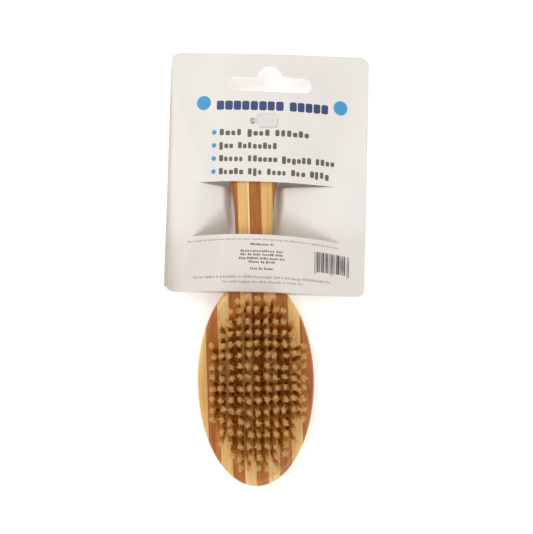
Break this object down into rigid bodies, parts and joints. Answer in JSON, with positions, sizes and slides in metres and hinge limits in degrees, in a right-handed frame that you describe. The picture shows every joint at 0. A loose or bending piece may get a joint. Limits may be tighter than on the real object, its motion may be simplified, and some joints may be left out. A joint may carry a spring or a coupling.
{
  "type": "bristle brush",
  "caption": "Oval bamboo grooming brush with natural bristle tufts, its handle woven through the slits of a hang card.",
  "frame": {"origin": "under the middle of the field of tufts, on the head's flat back that it rests on", "axes": "+Z out of the face that carries the bristles, +Y from the head to the handle's butt end, +X to the right seen from above"},
  "size_m": [0.1055, 0.2223, 0.0311],
  "materials": {
    "light_bamboo": "varnished",
    "dark_bamboo": "varnished",
    "bristle": "natural hog bristle",
    "anchor_wire": "flat wire",
    "printed_card": "coated white board",
    "nylon": "translucent nylon"
  },
  "bodies": {
    "brush": {"bamboo_strip_01_light": "light_bamboo", "bamboo_strip_02_dark": "dark_bamboo", "bamboo_strip_03_light": "light_bamboo", "bamboo_strip_04_dark": "dark_bamboo", "bamboo_strip_05_light": "light_bamboo", "bamboo_strip_06_dark": "dark_bamboo", "bamboo_strip_07_light": "light_bamboo", "bamboo_strip_08_dark_handle": "dark_bamboo", "bamboo_strip_08_dark_head": "dark_bamboo", "bamboo_strip_09_light": "light_bamboo", "bamboo_strip_10_dark": "dark_bamboo", "bristle_row_01": "bristle", "bristle_row_02": "bristle", "bristle_row_03": "bristle", "bristle_row_04": "bristle", "bristle_row_05": "bristle", "bristle_row_06": "bristle", "bristle_row_07": "bristle", "bristle_row_08": "bristle", "bristle_row_09": "bristle", "bristle_row_10": "bristle", "bristle_row_11": "bristle", "bristle_row_12": "bristle", "bristle_row_13": "bristle", "bristle_row_14": "bristle", "bristle_row_15": "bristle", "bristle_row_16": "bristle", "tag_bar": "nylon", "tuft_anchors": "anchor_wire"},
    "card": {"hang_card": "printed_card", "tag_paddle": "nylon"}
  },
  "joints": [
    {"name": "card_slide", "type": "slide", "parent": "brush", "child": "card", "axis": [0, 1, 0], "range_m": [0, 0.1]}
  ]
}
